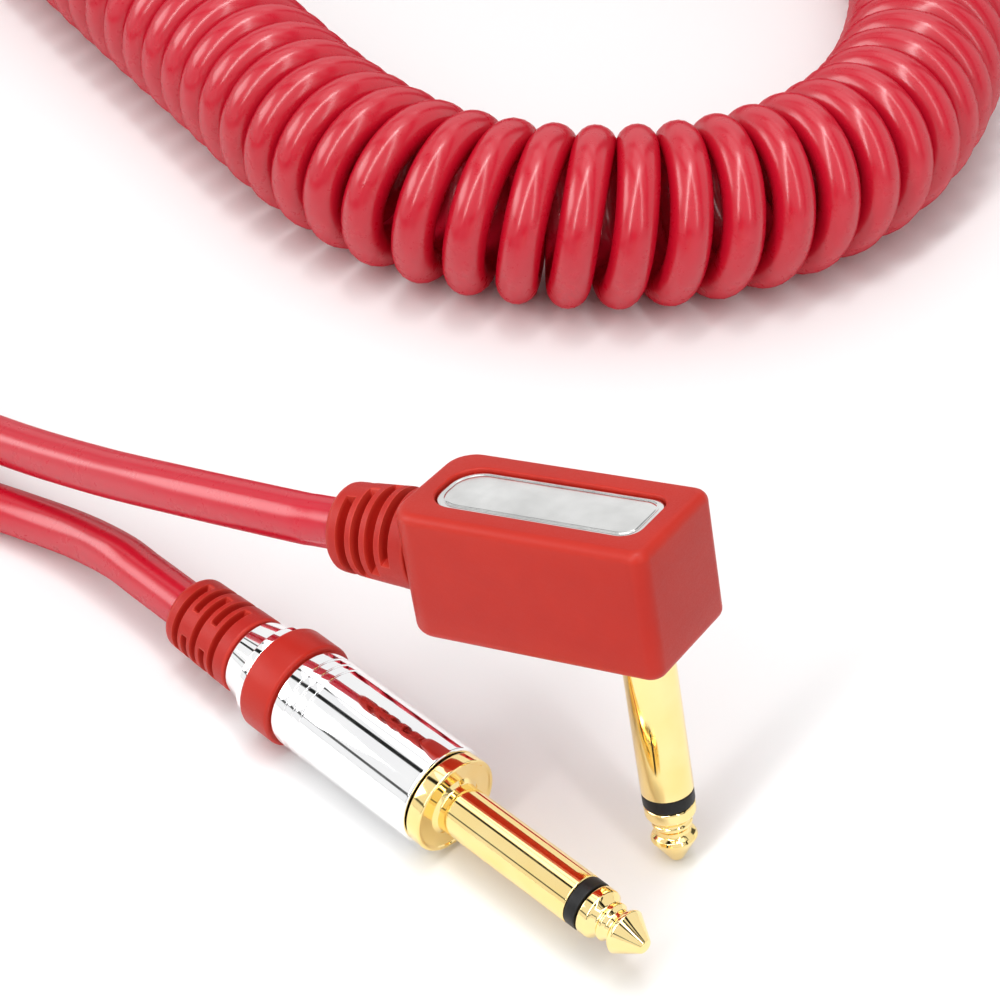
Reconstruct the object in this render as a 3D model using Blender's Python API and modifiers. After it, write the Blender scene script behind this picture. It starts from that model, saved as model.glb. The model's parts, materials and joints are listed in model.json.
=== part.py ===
"""Coiled instrument cable with a straight and a right-angle 6.35 mm plug.

Metres, +Z up. The cable lies on the plane z = 0. The straight plug lies along +X with its tip at the
+X end, and the origin is on the floor under the middle of the two plugs together.
Each plug is modelled in its own space: +Z runs along the pin to its tip, and z = 0 is the seat, the
face that meets the jack. An empty at the seat places it, so that every moving piece of the straight
plug has its parent empty on the joints' axis.
"""

import math

import bmesh
import bpy
from mathutils import Euler, Matrix, Vector

MM = 0.001

# Clearances
GAP = 0.15 * MM
CORD_GAP = 0.3 * MM

# Cord
CORD_RADIUS = 3.2 * MM
COIL_RADIUS = 14.0 * MM

# Pin, the standard 6.35 mm two-pole plug
PIN_RADIUS = 3.175 * MM
PIN_LENGTH = 30.5 * MM
SLEEVE_LENGTH = 20.6 * MM
RING_LENGTH = 1.6 * MM
ROD_RADIUS = 1.0 * MM
BORE_RADIUS = 2.2 * MM

# Straight plug, along its axis behind the seat
FLANGE_RADIUS = 6.2 * MM
FLANGE_THICKNESS = 2.0 * MM
BODY_REAR = -9.0 * MM
STRAIGHT_TIP_ROD_END = -13.6 * MM
SHELL_RADIUS = 6.5 * MM
SHELL_BORE = 5.5 * MM
SHELL_LENGTH = 23.5 * MM
ID_RING_RADIUS = 7.1 * MM
ID_RING_LENGTH = 5.0 * MM
BUSHING_FRONT_RADIUS = 6.0 * MM
BUSHING_REAR_RADIUS = 4.9 * MM
BUSHING_LENGTH = 4.8 * MM
BOOT_RADIUS = 5.3 * MM
BOOT_LENGTH = 12.0 * MM
BOOT_RIBS = 5
BOOT_TAPER = 0.3 * MM
BOOT_SPIGOT_RADIUS = 4.2 * MM
BOOT_SPIGOT_LENGTH = 2.3 * MM
SPIGOT_REACH = 5.2 * MM
CHUCK_SEAT = 2.6 * MM
STRAIGHT_CORD_FRONT = -17.6 * MM

SHELL_FRONT = -FLANGE_THICKNESS - GAP
SHELL_REAR = SHELL_FRONT - SHELL_LENGTH
ID_RING_FRONT = SHELL_REAR - GAP
ID_RING_REAR = ID_RING_FRONT - ID_RING_LENGTH
BUSHING_FRONT = ID_RING_REAR - GAP
BUSHING_REAR = BUSHING_FRONT - BUSHING_LENGTH
BOOT_FRONT = BUSHING_REAR - GAP
BOOT_REAR = BOOT_FRONT - BOOT_LENGTH
STRAIGHT_LENGTH = PIN_LENGTH - BOOT_REAR

# Right-angle plug: x runs from the pin's axis towards the boot
HOUSING_LENGTH = 34.0 * MM
HOUSING_WIDTH = 16.5 * MM
HOUSING_HEIGHT = 16.5 * MM
HOUSING_WALL = 1.2 * MM
HOUSING_ROUND = 1.5 * MM
PIN_TO_END = 6.5 * MM
CORD_DEPTH = 8.25 * MM
PLATE_LENGTH = 27.5 * MM
PLATE_WIDTH = 9.0 * MM
PLATE_DEPTH = 1.2 * MM
ANGLE_BOOT_LENGTH = 12.0 * MM
ANGLE_BOOT_RADIUS = 6.2 * MM
ANGLE_BOOT_RIBS = 4
ANGLE_BOOT_TAPER = 0.7 * MM
ANGLE_SPIGOT_LENGTH = 1.9 * MM
CORD_HOLE_RADIUS = BOOT_SPIGOT_RADIUS + GAP
CASE_TOP = -12.7 * MM
CASE_WALL = 0.5 * MM
STUD_RADIUS = 3.6 * MM
STUD_END = -6.2 * MM
NUT_RADIUS = 4.6 * MM
LUG_THICKNESS = 0.5 * MM
ANGLE_TIP_ROD_END = -8.6 * MM
ANGLE_CORD_FRONT = 14.2 * MM

# Where the plugs lie. The angle plug leans on its tip, with its cord end lower.
STRAIGHT_SEAT = Vector((STRAIGHT_LENGTH / 2 - PIN_LENGTH, -10.5 * MM, ID_RING_RADIUS))
ANGLE_TIP = Vector((28.7 * MM, 6.8 * MM, 0.4 * MM))
ANGLE_TURN = (math.radians(-174.5), math.radians(13.5), math.radians(-165.5))

# Cord, from each plug to its end of the coil, and the coil's axis, as lists of places in millimetres
STRAIGHT_LEAD = 15.0 * MM
ANGLE_LEAD = 8.0 * MM
STRAIGHT_ROUTE = (
    (-62.6, -10.7, 5.6), (-72.1, -12.3, 4.2), (-82.4, -15.2, 3.5), (-95.4, -19.5, 3.4),
    (-114.2, -24.4, 3.4), (-133.5, -26.1, 3.4), (-153.3, -26.3, 3.4), (-178.8, -19.2, 3.4),
    (-204.2, -7.9, 3.4), (-227.2, 5.9, 3.4), (-245.9, 22.5, 3.4), (-259.4, 41.6, 3.4),
    (-266.4, 62.8, 3.4), (-266.4, 84.1, 3.4), (-259.4, 103.9, 3.4), (-246.6, 120.8, 3.4),
    (-231.4, 135.0, 3.4),
)
ANGLE_ROUTE = (
    (-45.4, -6.9, 21.6), (-60.8, -8.4, 16.8), (-78.6, -9.8, 12.0), (-97.4, -10.7, 8.0),
    (-117.6, -10.3, 5.2), (-138.5, -8.6, 3.8), (-160.4, -5.0, 3.4), (-182.3, 1.3, 3.4),
    (-204.2, 10.5, 3.4), (-223.3, 21.1, 3.4), (-238.2, 33.1, 3.4), (-247.7, 46.9, 3.4),
    (-250.9, 61.4, 3.4), (-247.6, 74.4, 3.4), (-240.6, 82.5, 3.4),
)
COIL_ROUTE = (
    (-238.9, 83.3), (-225.8, 87.9), (-209.5, 89.4), (-191.5, 87.6), (-171.7, 83.3), (-151.0, 79.2),
    (-127.4, 74.7), (-103.9, 70.1), (-85.1, 69.9), (-71.6, 74.0), (-60.1, 81.4), (-51.0, 91.3),
    (-44.7, 103.4), (-41.8, 116.7), (-42.4, 130.2), (-46.3, 143.3), (-52.7, 156.4), (-61.7, 170.0),
    (-73.2, 184.0), (-87.3, 196.7), (-103.7, 206.5), (-121.8, 211.7), (-140.6, 211.3),
    (-158.8, 204.8), (-175.4, 193.9), (-190.6, 180.8), (-205.3, 165.7), (-217.9, 150.7),
    (-230.0, 136.1),
)
CORD_STEP = 16.0 * MM
COIL_STEP = 11.0 * MM

LOOKS = {
    "gold": ((0.83, 0.62, 0.25), 0.18, 1.0),
    "chrome": ((0.8, 0.81, 0.83), 0.08, 1.0),
    "steel": ((0.62, 0.62, 0.63), 0.3, 1.0),
    "brass": ((0.72, 0.55, 0.25), 0.35, 1.0),
    "copper": ((0.72, 0.36, 0.2), 0.4, 1.0),
    "black": ((0.02, 0.02, 0.02), 0.35, 0.0),
    "brown": ((0.2, 0.11, 0.05), 0.6, 0.0),
    "clear": ((0.75, 0.75, 0.72), 0.4, 0.0),
    "red": ((0.63, 0.05, 0.03), 0.5, 0.0),
    "cord": ((0.66, 0.04, 0.08), 0.4, 0.0),
}


def clear_scene():
    for thing in list(bpy.data.objects):
        bpy.data.objects.remove(thing, do_unlink=True)


def collection(name):
    made = bpy.data.collections.new(name)
    bpy.context.scene.collection.children.link(made)
    return made


def material(name, look):
    colour, roughness, metallic = LOOKS[look]
    made = bpy.data.materials.new(name)
    made.use_nodes = True
    shader = made.node_tree.nodes["Principled BSDF"]
    shader.inputs["Base Color"].default_value = (*colour, 1.0)
    shader.inputs["Roughness"].default_value = roughness
    shader.inputs["Metallic"].default_value = metallic
    return made


def add(name, data, look, parent):
    """An object in the cable's collection, under its plug's empty."""
    made = bpy.data.objects.new(name, data)
    PARTS.objects.link(made)
    made.parent = parent
    data.materials.append(material(name, look))
    return made


def empty(name, place, turn=(0.0, 0.0, 0.0), parent=None):
    made = bpy.data.objects.new(name, None)
    made.empty_display_size = 0.01
    made.location = place
    made.rotation_euler = turn
    made.parent = parent
    PARTS.objects.link(made)
    return made


def profile_mesh(name, profile, closed):
    """A profile of (radius, height) points as edges in the XZ plane."""
    mesh = bpy.data.meshes.new(name)
    edges = [(i, i + 1) for i in range(len(profile) - 1)]
    if closed:
        edges.append((len(profile) - 1, 0))
    mesh.from_pydata([(r, 0.0, z) for r, z in profile], edges, [])
    return mesh


def spin(thing, steps):
    screw = thing.modifiers.new("turned", "SCREW")
    screw.axis = "Z"
    screw.angle = 2 * math.pi
    screw.steps = steps
    screw.render_steps = steps
    screw.use_merge_vertices = True
    screw.merge_threshold = 0.000005
    screw.use_smooth_shade = False
    return screw


def turned(name, profile, look, parent, steps=28, closed=True):
    """A turned piece. The profile runs down its outer side, and back up its bore if it has one."""
    thing = add(name, profile_mesh(name, profile, closed), look, parent)
    spin(thing, steps)
    return thing


def ring_profile(outer, bore, top, bottom, edge=0.0):
    """A plain ring, with its outer edges chamfered by edge."""
    if not edge:
        return [(outer, top), (outer, bottom), (bore, bottom), (bore, top)]
    return [
        (outer - edge, top),
        (outer, top - edge),
        (outer, bottom + edge),
        (outer - edge, bottom),
        (bore, bottom),
        (bore, top),
    ]


def box_mesh(name, low, high):
    shape = bmesh.new()
    bmesh.ops.create_cube(shape, size=1.0)
    size = Vector(high) - Vector(low)
    middle = (Vector(high) + Vector(low)) / 2
    bmesh.ops.scale(shape, vec=size, verts=shape.verts)
    bmesh.ops.translate(shape, vec=middle, verts=shape.verts)
    mesh = bpy.data.meshes.new(name)
    shape.to_mesh(mesh)
    shape.free()
    return mesh


def cylinder_mesh(name, radius, low, high, along="Z", sides=28):
    """A cylinder between two points' heights along Z, or along X about the cord's axis."""
    shape = bmesh.new()
    bmesh.ops.create_cone(
        shape, cap_ends=True, segments=sides, radius1=radius, radius2=radius, depth=high - low
    )
    bmesh.ops.translate(shape, vec=(0, 0, (high + low) / 2), verts=shape.verts)
    if along == "X":
        bmesh.ops.rotate(shape, matrix=Matrix.Rotation(math.pi / 2, 3, "Y"), verts=shape.verts)
        bmesh.ops.translate(shape, vec=(0, 0, -CORD_DEPTH), verts=shape.verts)
    mesh = bpy.data.meshes.new(name)
    shape.to_mesh(mesh)
    shape.free()
    return mesh


def cutter(name, mesh, parent):
    made = bpy.data.objects.new(name, mesh)
    CUTTERS.objects.link(made)
    made.parent = parent
    made.hide_render = True
    made.display_type = "WIRE"
    return made


def combine(thing, other, operation):
    step = thing.modifiers.new(operation.lower(), "BOOLEAN")
    step.operation = operation
    step.solver = "EXACT"
    step.object = other


def bevel(thing, width, segments):
    step = thing.modifiers.new("edges", "BEVEL")
    step.width = width
    step.segments = segments
    step.limit_method = "ANGLE"


def tube(name, points, radius, look, parent, sides=2):
    """A round wire or cord through points that already lie on a smooth curve."""
    curve = bpy.data.curves.new(name, "CURVE")
    curve.dimensions = "3D"
    curve.bevel_depth = radius
    curve.bevel_resolution = sides
    curve.use_fill_caps = True
    spline = curve.splines.new("POLY")
    spline.points.add(len(points) - 1)
    for slot, place in zip(spline.points, points, strict=True):
        slot.co = (*place, 1.0)
    return add(name, curve, look, parent)


def smooth_path(route, spacing):
    """Points a fixed spacing apart on the Catmull-Rom curve through the route."""
    pts = [Vector(p) for p in route]
    pts = [2 * pts[0] - pts[1], *pts, 2 * pts[-1] - pts[-2]]
    fine = []
    for a, b, c, d in zip(pts, pts[1:], pts[2:], pts[3:], strict=False):
        for k in range(24):
            t = k / 24
            fine.append(
                0.5 * (2 * b + (c - a) * t + (2 * a - 5 * b + 4 * c - d) * t**2
                       + (3 * b - a - 3 * c + d) * t**3)
            )
    fine.append(pts[-2])
    along = [0.0]
    for a, b in zip(fine, fine[1:], strict=False):
        along.append(along[-1] + (b - a).length)
    count = max(2, round(along[-1] / spacing))
    out, j = [], 0
    for k in range(count + 1):
        want = along[-1] * k / count
        while j < len(along) - 2 and along[j + 1] < want:
            j += 1
        share = (want - along[j]) / (along[j + 1] - along[j])
        out.append(fine[j].lerp(fine[j + 1], share))
    return out


# --- The pin, the same on both plugs ---


def tip_contact(prefix, rod_end, parent):
    """The gold tip with its detent neck, and the rod that runs back through the sleeve to a
    riveted head behind the tip lug."""
    start = SLEEVE_LENGTH + RING_LENGTH + 0.1 * MM
    head = 1.6 * MM
    profile = [
        (0.0, PIN_LENGTH),
        (0.7 * MM, PIN_LENGTH - 0.1 * MM),
        (1.25 * MM, PIN_LENGTH - 0.6 * MM),
        (2.75 * MM, start + 5.3 * MM),
        (2.85 * MM, start + 4.9 * MM),
        (2.45 * MM, start + 4.4 * MM),
        (1.95 * MM, start + 3.7 * MM),
        (2.0 * MM, start + 3.2 * MM),
        (2.7 * MM, start + 2.4 * MM),
        (3.1 * MM, start + 1.5 * MM),
        (3.1 * MM, start + 0.5 * MM),
        (2.7 * MM, start),
        (ROD_RADIUS, start),
        (ROD_RADIUS, rod_end + 0.6 * MM),
        (head, rod_end + 0.6 * MM),
        (head, rod_end),
        (0.0, rod_end),
    ]
    return turned(prefix + "_tip", profile, "gold", parent, closed=False)


def tip_insulator(prefix, parent, rear):
    """The black ring between tip and sleeve, in one piece with the tube that lines the sleeve."""
    top = SLEEVE_LENGTH + RING_LENGTH
    bottom = SLEEVE_LENGTH + 0.1 * MM
    profile = [
        (PIN_RADIUS - 0.05 * MM, top),
        (PIN_RADIUS - 0.05 * MM, bottom),
        (BORE_RADIUS - GAP, bottom),
        (BORE_RADIUS - GAP, rear),
        (ROD_RADIUS + GAP, rear),
        (ROD_RADIUS + GAP, top),
    ]
    return turned(prefix + "_tip_insulator", profile, "black", parent)


def washer_strip(name, look, parent, outer, bore, top, thickness, arm_low, arm_high, band=None):
    """A solder lug: a washer with an arm, and the crimped band on the arm's end if it has one."""
    profile = ring_profile(outer, bore, top, top - thickness)
    lug = turned(name, profile, look, parent, steps=24)
    combine(lug, cutter(name + "_arm", box_mesh(name + "_arm", arm_low, arm_high), parent), "UNION")
    if band:
        combine(lug, band, "UNION")
    return lug


# --- The straight plug ---


def straight_sleeve(parent):
    """Gold sleeve, flange and the threaded body that the shell screws onto."""
    thread = SHELL_BORE - 0.25 * MM
    profile = [
        (PIN_RADIUS - 0.15 * MM, SLEEVE_LENGTH),
        (PIN_RADIUS, SLEEVE_LENGTH - 0.15 * MM),
        (PIN_RADIUS, 0.0),
        (FLANGE_RADIUS - 0.3 * MM, 0.0),
        (FLANGE_RADIUS, -0.3 * MM),
        (FLANGE_RADIUS, -FLANGE_THICKNESS),
        (thread, -FLANGE_THICKNESS),
        (thread, BODY_REAR),
        (BORE_RADIUS, BODY_REAR),
        (BORE_RADIUS, SLEEVE_LENGTH),
    ]
    return turned("straight_sleeve", profile, "gold", parent, steps=32)


def straight_shell(parent):
    """Chrome barrel with three fine grooves near its rear end."""
    groove = 0.25 * MM
    profile = [(SHELL_RADIUS - 0.3 * MM, SHELL_FRONT), (SHELL_RADIUS, SHELL_FRONT - 0.3 * MM)]
    for index in (3, 2, 1):
        z = SHELL_REAR + (1.4 * index + 0.6) * MM
        profile += [
            (SHELL_RADIUS, z + groove),
            (SHELL_RADIUS - groove, z),
            (SHELL_RADIUS, z - groove),
        ]
    profile += [
        (SHELL_RADIUS, SHELL_REAR + 0.2 * MM),
        (SHELL_RADIUS - 0.2 * MM, SHELL_REAR),
        (SHELL_BORE, SHELL_REAR),
        (SHELL_BORE, SHELL_FRONT),
    ]
    return turned("straight_shell", profile, "chrome", parent, steps=32)


def straight_id_ring(parent):
    profile = ring_profile(ID_RING_RADIUS, SHELL_BORE, ID_RING_FRONT, ID_RING_REAR, 0.4 * MM)
    return turned("straight_id_ring", profile, "red", parent, steps=32)


def straight_bushing(parent):
    """Chrome cone with the threaded spigot that passes through the ID ring into the shell."""
    spigot = SHELL_BORE - GAP
    bore = 4.6 * MM
    spigot_front = BUSHING_FRONT + SPIGOT_REACH
    boot_seat = BOOT_SPIGOT_RADIUS + GAP
    step_z = BUSHING_REAR + CHUCK_SEAT
    profile = [
        (spigot, spigot_front),
        (spigot, BUSHING_FRONT),
        (BUSHING_FRONT_RADIUS, BUSHING_FRONT),
        (BUSHING_FRONT_RADIUS, BUSHING_FRONT - 0.6 * MM),
        (BUSHING_REAR_RADIUS, BUSHING_REAR + 0.3 * MM),
        (BUSHING_REAR_RADIUS - 0.2 * MM, BUSHING_REAR),
        (boot_seat, BUSHING_REAR),
        (boot_seat, step_z),
        (bore, step_z),
        (bore, spigot_front),
    ]
    return turned("straight_tail_bushing", profile, "chrome", parent, steps=32)


def ribbed(name, front, rear, radius, end_radius, ribs, spigot, parent, steps=28):
    """A rubber bend relief: rings between grooves, a wider collar at the front, and a thin
    sleeve that reaches forward by spigot into what holds it."""
    bore = CORD_RADIUS + GAP
    collar = 0.16 * (front - rear)
    end_rim = 0.12 * (front - rear)
    pitch = (front - rear - collar - end_rim) / ribs
    depth = 0.75 * MM
    profile = [
        (BOOT_SPIGOT_RADIUS, front + spigot),
        (BOOT_SPIGOT_RADIUS, front),
        (radius - 0.3 * MM, front),
        (radius, front - 0.3 * MM),
    ]
    for index in range(ribs):
        top = front - collar - pitch * index
        share = (index + 0.5) / ribs
        outer = radius + (end_radius - radius) * share
        profile += [
            (outer, top),
            (outer - depth, top - 0.08 * pitch),
            (outer - depth, top - 0.42 * pitch),
            (outer, top - 0.5 * pitch),
        ]
    profile += [
        (end_radius, rear + 0.3 * MM),
        (end_radius - 0.3 * MM, rear),
        (bore, rear),
        (bore, front + spigot),
    ]
    return turned(name, profile, "red", parent, steps=steps)


def straight_inside(parent):
    """What the shell covers: terminals, wires, the stripped cord end, its clamp and chuck."""
    turned(
        "straight_rear_insulator",
        ring_profile(4.6 * MM, ROD_RADIUS + GAP, BODY_REAR - GAP, BODY_REAR - 1.3 * MM),
        "brown",
        parent,
        steps=24,
    )
    washer = BODY_REAR - 1.45 * MM
    band_front = -19.0 * MM
    band_profile = ring_profile(4.2 * MM, CORD_RADIUS + GAP, band_front, band_front - 3.0 * MM)
    band = cutter("clamp_band", profile_mesh("clamp_band", band_profile, True), parent)
    spin(band, 24)
    washer_strip(
        "straight_sleeve_lug",
        "brass",
        parent,
        outer=4.3 * MM,
        bore=2.3 * MM,
        top=washer,
        thickness=LUG_THICKNESS,
        arm_low=(-1.4 * MM, 3.72 * MM, band_front - 1.0 * MM),
        arm_high=(1.4 * MM, 4.18 * MM, washer - 0.05 * MM),
        band=band,
    )
    tip_washer = washer - 1.2 * MM
    washer_strip(
        "straight_tip_lug",
        "brass",
        parent,
        outer=2.2 * MM,
        bore=ROD_RADIUS + GAP,
        top=tip_washer,
        thickness=LUG_THICKNESS,
        arm_low=(-0.8 * MM, -2.15 * MM, tip_washer - 3.2 * MM),
        arm_high=(0.8 * MM, -1.75 * MM, tip_washer - 0.1 * MM),
    )
    cord_front = STRAIGHT_CORD_FRONT
    core = [
        (0.0, -1.2 * MM, tip_washer - 2.2 * MM),
        (0.0, -0.95 * MM, tip_washer - 3.2 * MM),
        (0.0, -0.3 * MM, cord_front + 1.1 * MM),
        (0.0, 0.0, cord_front + GAP),
    ]
    tube("straight_centre_wire", core, 0.45 * MM, "clear", parent)
    braid = [
        (0.0, 3.2 * MM, washer - 2.5 * MM),
        (0.0, 3.1 * MM, washer - 4.0 * MM),
        (0.0, 2.6 * MM, cord_front + 1.2 * MM),
        (0.0, 2.2 * MM, cord_front + GAP),
    ]
    tube("straight_shield_pigtail", braid, 0.4 * MM, "copper", parent)
    turned(
        "straight_liner",
        ring_profile(SHELL_BORE - 0.25 * MM, 4.9 * MM, BODY_REAR - GAP, -24.5 * MM),
        "clear",
        parent,
        steps=24,
    )
    turned(
        "straight_chuck",
        ring_profile(
            4.45 * MM, CORD_RADIUS + GAP, -26.5 * MM, BUSHING_REAR + CHUCK_SEAT + 0.2 * MM, 0.2 * MM
        ),
        "black",
        parent,
        steps=24,
    )
    turned(
        "straight_cord_end",
        [(0.0, cord_front), (CORD_RADIUS, cord_front), (CORD_RADIUS, BOOT_REAR), (0.0, BOOT_REAR)],
        "cord",
        parent,
        steps=16,
        closed=False,
    )


def straight_plug():
    seat = empty("straight_seat", STRAIGHT_SEAT, (0.0, math.pi / 2, 0.0))
    tip_contact("straight", STRAIGHT_TIP_ROD_END, seat)
    tip_insulator("straight", seat, BODY_REAR + 0.1 * MM)
    straight_sleeve(seat)
    straight_shell(seat)
    straight_id_ring(seat)
    straight_bushing(seat)
    ribbed(
        "straight_boot", BOOT_FRONT, BOOT_REAR, BOOT_RADIUS, BOOT_RADIUS - BOOT_TAPER,
        BOOT_RIBS, BOOT_SPIGOT_LENGTH, seat, steps=24,
    )
    straight_inside(seat)
    return seat


# --- The right-angle plug ---


def angle_sleeve(parent):
    """Gold sleeve with the shoulder and stud that the nut clamps to the inner case."""
    shoulder = -HOUSING_WALL - GAP - CASE_WALL - GAP
    profile = [
        (PIN_RADIUS - 0.15 * MM, SLEEVE_LENGTH),
        (PIN_RADIUS, SLEEVE_LENGTH - 0.15 * MM),
        (PIN_RADIUS, shoulder),
        (4.5 * MM, shoulder),
        (4.5 * MM, shoulder - 1.0 * MM),
        (STUD_RADIUS, shoulder - 1.0 * MM),
        (STUD_RADIUS, STUD_END),
        (BORE_RADIUS, STUD_END),
        (BORE_RADIUS, SLEEVE_LENGTH),
    ]
    return turned("angle_sleeve", profile, "gold", parent)


def angle_housing(parent):
    """The red moulded box: hollow, with the pin's and the cord's holes and a recess on top."""
    half = HOUSING_WIDTH / 2
    low = (-PIN_TO_END, -half, -HOUSING_HEIGHT)
    high = (HOUSING_LENGTH - PIN_TO_END, half, 0.0)
    body = add("angle_housing", box_mesh("angle_housing", low, high), "red", parent)
    bevel(body, HOUSING_ROUND, 3)
    wall = HOUSING_WALL
    hollow = box_mesh(
        "cavity",
        (low[0] + wall, low[1] + wall, CASE_TOP - 1.2 * MM),
        (high[0] - wall, high[1] - wall, -wall),
    )
    combine(body, cutter("cavity", hollow, parent), "DIFFERENCE")
    pin_hole = cylinder_mesh("pin_hole", PIN_RADIUS + GAP, -wall - MM, MM)
    combine(body, cutter("pin_hole", pin_hole, parent), "DIFFERENCE")
    cord_hole = cylinder_mesh("cord_hole", CORD_HOLE_RADIUS, high[0] - wall - MM, high[0] + MM, "X")
    combine(body, cutter("cord_hole", cord_hole, parent), "DIFFERENCE")
    middle = (low[0] + high[0]) / 2
    recess = box_mesh(
        "plate_recess",
        (middle - PLATE_LENGTH / 2 - GAP, -PLATE_WIDTH / 2 - GAP, low[2] - MM),
        (middle + PLATE_LENGTH / 2 + GAP, PLATE_WIDTH / 2 + GAP, low[2] + PLATE_DEPTH),
    )
    combine(body, cutter("plate_recess", recess, parent), "DIFFERENCE")
    plate = box_mesh(
        "angle_nameplate",
        (middle - PLATE_LENGTH / 2, -PLATE_WIDTH / 2, low[2] + 0.35 * MM),
        (middle + PLATE_LENGTH / 2, PLATE_WIDTH / 2, low[2] + PLATE_DEPTH - GAP),
    )
    bevel(add("angle_nameplate", plate, "steel", parent), 0.2 * MM, 1)
    return body


def angle_case(parent):
    """The metal inner case, open at the top, and the cover that closes it."""
    outer = HOUSING_WALL + GAP
    wall = CASE_WALL
    half = HOUSING_WIDTH / 2 - outer
    low_x = -PIN_TO_END + outer
    high_x = HOUSING_LENGTH - PIN_TO_END - outer
    case = add(
        "angle_inner_case",
        box_mesh("angle_inner_case", (low_x, -half, CASE_TOP), (high_x, half, -outer)),
        "steel",
        parent,
    )
    inside = box_mesh(
        "case_inside",
        (low_x + wall, -half + wall, CASE_TOP - MM),
        (high_x - wall, half - wall, -outer - wall),
    )
    combine(case, cutter("case_inside", inside, parent), "DIFFERENCE")
    hole = cylinder_mesh("case_pin_hole", PIN_RADIUS + GAP, -outer - wall - MM, 0.0)
    combine(case, cutter("case_pin_hole", hole, parent), "DIFFERENCE")
    slot = cylinder_mesh("case_cord_hole", CORD_HOLE_RADIUS, high_x - wall - MM, high_x + MM, "X")
    combine(case, cutter("case_cord_hole", slot, parent), "DIFFERENCE")
    add(
        "angle_case_cover",
        box_mesh(
            "angle_case_cover", (low_x, -half, CASE_TOP - 0.9 * MM), (high_x, half, CASE_TOP - GAP)
        ),
        "steel",
        parent,
    )


def angle_inside(parent):
    """Terminals, nut, wires, clamp and the stripped cord end inside the case."""
    nut_mesh = cylinder_mesh("angle_fixing_nut", NUT_RADIUS, -4.95 * MM, -3.3 * MM, sides=6)
    nut = add("angle_fixing_nut", nut_mesh, "steel", parent)
    nut_hole = cylinder_mesh("nut_hole", STUD_RADIUS + GAP, -6.0 * MM, -3.0 * MM)
    combine(nut, cutter("nut_hole", nut_hole, parent), "DIFFERENCE")
    washer_strip(
        "angle_sleeve_lug", "brass", parent,
        outer=4.5 * MM, bore=STUD_RADIUS + GAP, top=-5.1 * MM, thickness=LUG_THICKNESS,
        arm_low=(4.3 * MM, -1.4 * MM, -5.55 * MM), arm_high=(12.5 * MM, 1.4 * MM, -5.15 * MM),
    )
    turned(
        "angle_rear_insulator",
        ring_profile(STUD_RADIUS, ROD_RADIUS + GAP, STUD_END - GAP, -7.1 * MM),
        "brown", parent, steps=24,
    )
    washer_strip(
        "angle_tip_lug", "brass", parent,
        outer=2.6 * MM, bore=ROD_RADIUS + GAP, top=-7.25 * MM, thickness=LUG_THICKNESS,
        arm_low=(2.0 * MM, -0.8 * MM, -7.7 * MM), arm_high=(9.0 * MM, 0.8 * MM, -7.3 * MM),
    )
    cord_front = ANGLE_CORD_FRONT
    axis = -CORD_DEPTH
    core = [
        (7.2 * MM, 0.0, axis - 0.1 * MM),
        (9.0 * MM, 0.0, axis - 0.4 * MM),
        (12.0 * MM, 0.0, axis - 0.2 * MM),
        (cord_front - GAP, 0.0, axis),
    ]
    tube("angle_centre_wire", core, 0.45 * MM, "clear", parent)
    braid = [
        (11.0 * MM, 0.0, -6.15 * MM),
        (12.2 * MM, 0.0, -6.2 * MM),
        (13.2 * MM, 0.0, -6.3 * MM),
        (cord_front - GAP, 0.0, -6.4 * MM),
    ]
    tube("angle_shield_pigtail", braid, 0.4 * MM, "copper", parent)
    gland = empty("angle_gland", (0.0, 0.0, -CORD_DEPTH), (0.0, -math.pi / 2, 0.0), parent)
    turned(
        "angle_cable_clamp",
        ring_profile(4.2 * MM, CORD_RADIUS + GAP, -16.5 * MM, -20.0 * MM),
        "brass", gland, steps=24,
    )
    boot_front = -(HOUSING_LENGTH - PIN_TO_END) - GAP
    boot_rear = boot_front - ANGLE_BOOT_LENGTH
    ribbed(
        "angle_boot", boot_front, boot_rear, ANGLE_BOOT_RADIUS, ANGLE_BOOT_RADIUS - ANGLE_BOOT_TAPER,
        ANGLE_BOOT_RIBS, ANGLE_SPIGOT_LENGTH, gland,
    )
    turned(
        "angle_cord_end",
        [(0.0, -cord_front), (CORD_RADIUS, -cord_front), (CORD_RADIUS, boot_rear), (0.0, boot_rear)],
        "cord", gland, steps=16, closed=False,
    )
    return gland


def angle_plug():
    seat_place = ANGLE_TIP - Euler(ANGLE_TURN).to_matrix() @ Vector((0.0, 0.0, PIN_LENGTH))
    seat = empty("angle_seat", seat_place, ANGLE_TURN)
    tip_contact("angle", ANGLE_TIP_ROD_END, seat)
    tip_insulator("angle", seat, STUD_END + 0.1 * MM)
    angle_sleeve(seat)
    angle_housing(seat)
    angle_case(seat)
    angle_inside(seat)
    return seat


# --- The cord ---


def tail(name, start, direction, lead, route):
    """The cord from a plug: straight out of its boot, then along the route to the coil's end."""
    path = [start, start + direction * lead, *(Vector(p) * MM for p in route)]
    tube(name, smooth_path(path, CORD_STEP), CORD_RADIUS, "cord", None)


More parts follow.
